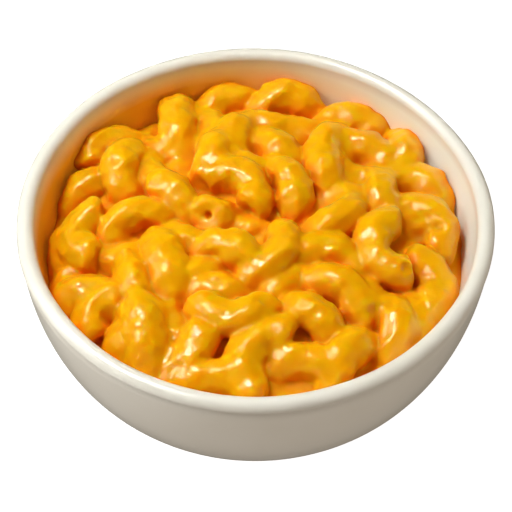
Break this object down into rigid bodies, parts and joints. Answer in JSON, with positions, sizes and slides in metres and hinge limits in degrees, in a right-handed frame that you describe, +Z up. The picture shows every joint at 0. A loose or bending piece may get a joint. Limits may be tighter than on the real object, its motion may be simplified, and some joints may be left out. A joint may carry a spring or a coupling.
{
  "type": "bowl of mac and cheese",
  "caption": "Elbow macaroni in thick orange cheese sauce, mounded in a round cream glazed stoneware bowl with a rolled rim.",
  "frame": {"origin": "centre of the foot ring's underside, on the table", "axes": "+Z up out of the bowl's mouth; the bowl is round, and the food was seen from the -Y side"},
  "size_m": [0.14, 0.14, 0.058],
  "materials": {
    "glaze": "gloss",
    "cheese_macaroni": "gloss"
  },
  "bodies": {
    "root": {"bowl": "glaze", "macaroni_heap": "cheese_macaroni"}
  },
  "joints": []
}
